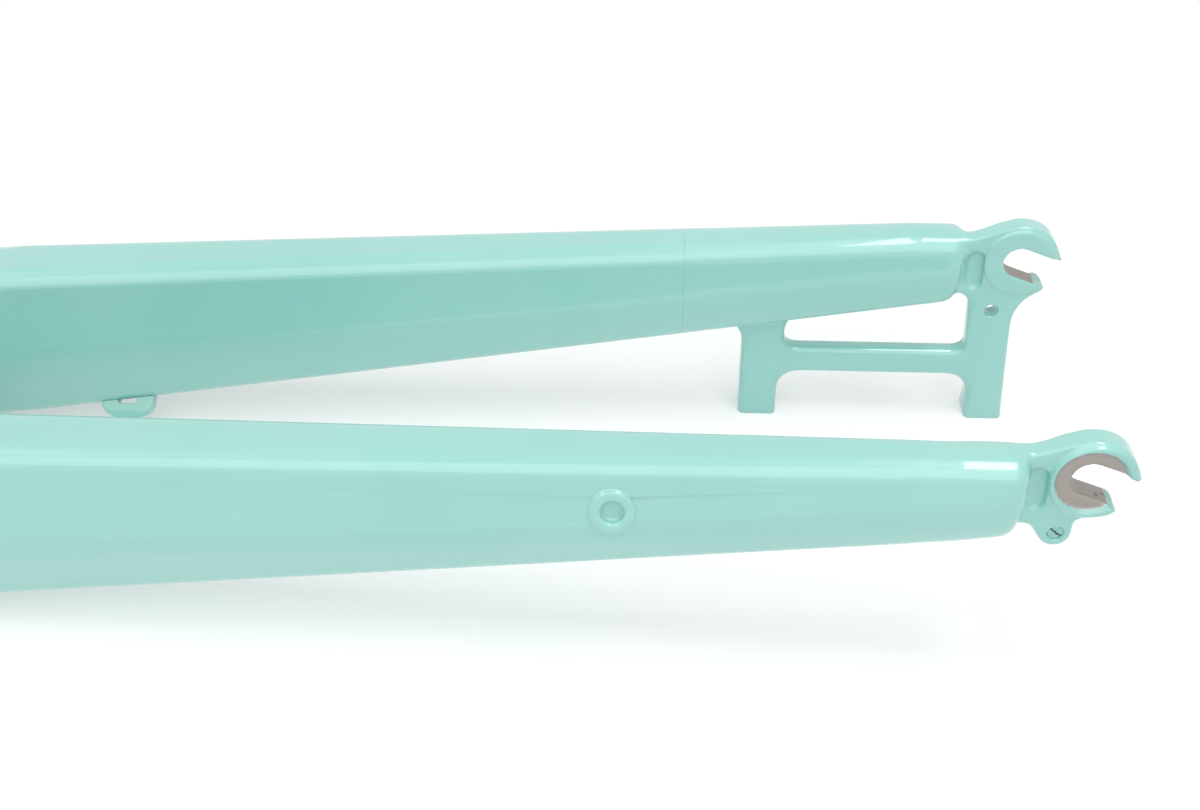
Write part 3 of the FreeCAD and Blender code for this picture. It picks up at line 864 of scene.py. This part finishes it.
class FORK_OT_eyelet_film(bpy.types.Operator):
    """Wrinkled film of paint that has dried across the right eyelet"""

    bl_idname = "fork.eyelet_film"
    bl_label = "Eyelet film"

    def execute(self, context):
        way = mount_axis("eyelet_right")
        radius = mount_radius("eyelet_right")
        depth = mount_length("eyelet_right") / 2 - FILM_SETBACK
        seat = mount_place("eyelet_right") + way * depth
        steps = [(radius * share, height * MM) for share, height in FILM_RIPPLES]
        piece = turned("right_eyelet_film", steps, seat, way)
        bpy.ops.object.mode_set(mode="EDIT")
        bpy.ops.mesh.select_all(action="SELECT")
        bpy.ops.transform.vertex_random(offset=FILM_WRINKLE, normal=1.0, seed=FILM_SEED)
        bpy.ops.object.mode_set(mode="OBJECT")
        shade(piece, SKIN_CREASE)
        wear(piece, film_paint("eyelet_film_paint", seat))
        return {"FINISHED"}


def crown_softness():
    """The forged arch is soft; the race seat, the mudguard hole and the cut ends stay crisp."""
    race = mount_place("race_seat")
    steerer_way = mount_axis("race_seat")
    hole = mount_place("crown_hole")
    hole_way = mount_axis("crown_hole")
    cut = top_cut()

    def softness(place):
        share = step((place - race).dot(steerer_way), *RACE_FADE)
        share *= step(from_line(place, hole, hole_way), *CROWN_HOLE_FADE)
        return share * step(place.x, cut, cut - CUT_FADE)

    return softness


class FORK_OT_crown(bpy.types.Operator):
    """Painted skin of the crown and of the blades' tops"""

    bl_idname = "fork.crown"
    bl_label = "Crown"

    def execute(self, context):
        shape = look("skin")
        piece = merged_copy("crown", "crown_skin")
        tops = [blade_skin(side, side + "_top") for side in SIDES]
        for blade in tops:
            cut_off(blade, top_cut() + OVERLAP_GRAINS * shape.crown_grain, 1)
        join_into(piece, tops)
        soften(piece, shape.crown_grain, shape.paint_passes, shape.crown_passes, crown_softness())
        cut_off(piece, top_cut(), 1)
        shade(piece, SKIN_CREASE)
        wear(piece, gloss_paint("crown_paint"))
        as_node(piece, "crown")
        return {"FINISHED"}


class FORK_OT_steerer(bpy.types.Operator):
    """Bare steerer tube"""

    bl_idname = "fork.steerer"
    bl_label = "Steerer"

    def execute(self, context):
        piece = merged_copy("steerer_tube", "steerer_shell")
        shade(piece, TUBE_CREASE)
        wear(piece, satin_alloy("steerer_alloy"))
        as_node(piece, "steerer_tube")
        return {"FINISHED"}


def boss_steps(tap, length):
    """Steps (radius, height) of a boss: sunk foot, weld, rounded ring, chamfered mouth and tapped hole."""
    foot = BOSS_RADIUS + BOSS_WELD
    steps = [(foot, -BOSS_SINK), (foot, -BOSS_WELD_FOOT)]
    for turn in range(1, RING_STEPS + 1):
        angle = math.pi / 2 * turn / RING_STEPS
        weld_radius = BOSS_RADIUS + BOSS_WELD * (1 - math.sin(angle))
        steps.append((weld_radius, BOSS_WELD * (1 - math.cos(angle))))
    ring = (BOSS_RADIUS - BOSS_MOUTH) / 2
    rise = BOSS_HEIGHT - BOSS_WELD
    for turn in range(1, 2 * RING_STEPS + 1):
        angle = math.pi * turn / (2 * RING_STEPS)
        steps.append((BOSS_MOUTH + ring * (1 + math.cos(angle)), BOSS_WELD + rise * math.sin(angle)))
    steps.append((BOSS_MOUTH - BOSS_MOUTH_DRAFT, -BOSS_THROAT))
    steps.append((tap + BOSS_CHAMFER, BOSS_CHAMFER - BOSS_TAP_START))
    steps.append((tap, -BOSS_TAP_START))
    steps.append((tap, -length * TAP_WALL_SHARE))
    steps.append((tap * TAP_POINT_SHARE, -length * TAP_END_SHARE))
    return steps


class FORK_OT_bosses(bpy.types.Operator):
    """Painted rack bosses of both blades, with a soft weld round each"""

    bl_idname = "fork.bosses"
    bl_label = "Rack bosses"

    def execute(self, context):
        for side in SIDES:
            node = side + "_blade_boss"
            mount = "boss_" + side
            way = mount_axis(mount)
            length = mount_length(mount)
            seat = mount_place(mount) + way * (length / 2 + BOSS_MOUTH_DEPTH - BOSS_HEIGHT)
            piece = turned(node + "_skin", boss_steps(mount_radius(mount), length), seat, way)
            shade(piece, RING_CREASE)
            wear(piece, gloss_paint(node + "_paint"))
            as_node(piece, node)
        return {"FINISHED"}


class FORK_OT_hose_guide(bpy.types.Operator):
    """Painted hose guide under the left blade"""

    bl_idname = "fork.hose_guide"
    bl_label = "Hose guide"

    def execute(self, context):
        shape = look("skin")
        piece = merged_copy("hose_guide", "hose_guide_skin")
        soften(piece, shape.small_grain, 2 * shape.paint_passes)
        shade(piece, SKIN_CREASE)
        wear(piece, gloss_paint("hose_guide_paint"))
        as_node(piece, "hose_guide")
        return {"FINISHED"}


# Stage


def seen_white(shader):
    """1 for camera, glossy and transmission rays, which see plain white, and 0 for the rays that light."""
    rays = shader.node("ShaderNodeLightPath")
    seen = rays["Is Camera Ray"].larger(rays["Is Glossy Ray"])
    return seen.larger(rays["Is Transmission Ray"])


def matte(shader, colour):
    values = {"Base Color": rgba(colour), "Roughness": FLOOR_ROUGHNESS, "Specular IOR Level": 0.0}
    return shader.node("ShaderNodeBsdfPrincipled", values=values)["BSDF"]


def pale_floor(name, studio):
    """White floor that lights the fork in full, and is seen with a lighter shadow."""
    shader = Shader(bpy.data.materials.new(name))
    lighting = matte(shader, studio.floor_colour)
    shaded = matte(shader, [studio.shadow_depth * part for part in studio.floor_colour])
    glow = shader.node("ShaderNodeEmission", values={"Strength": studio.floor_glow})["Emission"]
    seen = shader.node("ShaderNodeAddShader", values={0: shaded, 1: glow})["Shader"]
    values = {0: seen_white(shader), 1: lighting, 2: seen}
    surface = shader.node("ShaderNodeMixShader", values=values)["Shader"]
    shader.node("ShaderNodeOutputMaterial", values={"Surface": surface})
    return shader.holder


def white_surroundings(name, studio):
    """World that is seen as plain white, and lights the fork with the weaker sky."""
    shader = Shader(bpy.data.worlds.new(name))
    strength = seen_white(shader) * (1 - studio.sky) + studio.sky
    values = {"Color": (1, 1, 1, 1), "Strength": strength}
    sky = shader.node("ShaderNodeBackground", values=values)["Background"]
    shader.node("ShaderNodeOutputWorld", values={"Surface": sky})
    return shader.holder


def soft_box(name, place, target, size, radiance):
    """Rectangular lamp at a place from the axle, which shines towards a target."""
    lamp = bpy.data.lights.new(name, "AREA")
    lamp.shape = "RECTANGLE"
    lamp.size, lamp.size_y = size
    lamp.energy = radiance * math.pi * size[0] * size[1]
    holder = bpy.data.objects.new(name, lamp)
    holder.location = AXLE + Vector(place)
    holder.rotation_euler = (Vector(target) - Vector(place)).to_track_quat("-Z", "Y").to_euler()
    bpy.context.scene.collection.objects.link(holder)


def straight_below(place):
    return (place[0], place[1], 0)


class FORK_OT_stage(bpy.types.Operator):
    """Floor, lamps, white surroundings and the camera"""

    bl_idname = "fork.stage"
    bl_label = "Studio"

    def execute(self, context):
        studio = look("studio")
        scene = context.scene
        scene.view_settings.view_transform = "Standard"

        bpy.ops.object.select_all(action="DESELECT")
        bpy.ops.mesh.primitive_grid_add(
            x_subdivisions=FLOOR_CELLS, y_subdivisions=FLOOR_CELLS, size=FLOOR_SIZE,
        )
        floor = context.active_object
        floor.name = "studio_floor"
        floor.data.materials.append(pale_floor("studio_floor", studio))

        scene.world = white_surroundings("studio_sky", studio)
        for side, place, size, radiance in (
            ("right", studio.right_place, studio.right_size, studio.right_radiance),
            ("left", studio.left_place, studio.left_size, studio.left_radiance),
        ):
            soft_box(side + "_soft_box", place, straight_below(place), size, radiance)
        soft_box("front_soft_box", studio.front_place, FORK_MIDDLE, studio.front_size, studio.front_radiance)

        forward = Vector((
            math.sin(studio.yaw) * math.cos(studio.pitch),
            math.cos(studio.yaw) * math.cos(studio.pitch),
            -math.sin(studio.pitch),
        ))
        right = forward.cross(Vector((0, 0, 1))).normalized()
        up = right.cross(forward)
        turn = Matrix((right, up, -forward)).transposed() @ Matrix.Rotation(studio.roll, 3, "Z")
        camera = bpy.data.objects.new("camera", bpy.data.cameras.new("camera"))
        camera.data.lens = studio.lens
        camera.data.sensor_width = SENSOR_WIDTH
        camera.data.clip_start = CLIP_START
        camera.matrix_world = Matrix.Translation(AXLE + Vector(studio.camera_offset)) @ turn.to_4x4()
        scene.collection.objects.link(camera)
        scene.camera = camera
        return {"FINISHED"}


class FORK_PT_sidebar(bpy.types.Panel):
    """Sidebar panel with the fork's looks and steps"""

    bl_idname = "FORK_PT_sidebar"
    bl_label = "Mint Disc Fork"
    bl_space_type = "VIEW_3D"
    bl_region_type = "UI"
    bl_category = "Fork"

    def draw(self, context):
        for group in LOOKS:
            box = self.layout.box()
            settings = look(group)
            for name in settings.__annotations__:
                box.prop(settings, name)
        for operator in STEPS:
            self.layout.operator(operator.bl_idname)


LOOKS = {"paint": PaintLook, "bare": BareLook, "skin": SkinShape, "studio": StudioSetup}
STEPS = (
    FORK_OT_blades,
    FORK_OT_dropouts,
    FORK_OT_eyelet_film,
    FORK_OT_crown,
    FORK_OT_steerer,
    FORK_OT_bosses,
    FORK_OT_hose_guide,
    FORK_OT_stage,
)


def register():
    for name, group in LOOKS.items():
        bpy.utils.register_class(group)
        setattr(bpy.types.Scene, "fork_" + name, bpy.props.PointerProperty(type=group))
    for operator in STEPS:
        bpy.utils.register_class(operator)
    bpy.utils.register_class(FORK_PT_sidebar)


def unregister():
    bpy.utils.unregister_class(FORK_PT_sidebar)
    for operator in reversed(STEPS):
        bpy.utils.unregister_class(operator)
    for name, group in LOOKS.items():
        delattr(bpy.types.Scene, "fork_" + name)
        bpy.utils.unregister_class(group)


def main():
    register()
    bpy.ops.fork.blades()
    bpy.ops.fork.dropouts()
    bpy.ops.fork.eyelet_film()
    bpy.ops.fork.crown()
    bpy.ops.fork.steerer()
    bpy.ops.fork.bosses()
    bpy.ops.fork.hose_guide()
    bpy.ops.fork.stage()


if __name__ == "__main__":
    main()
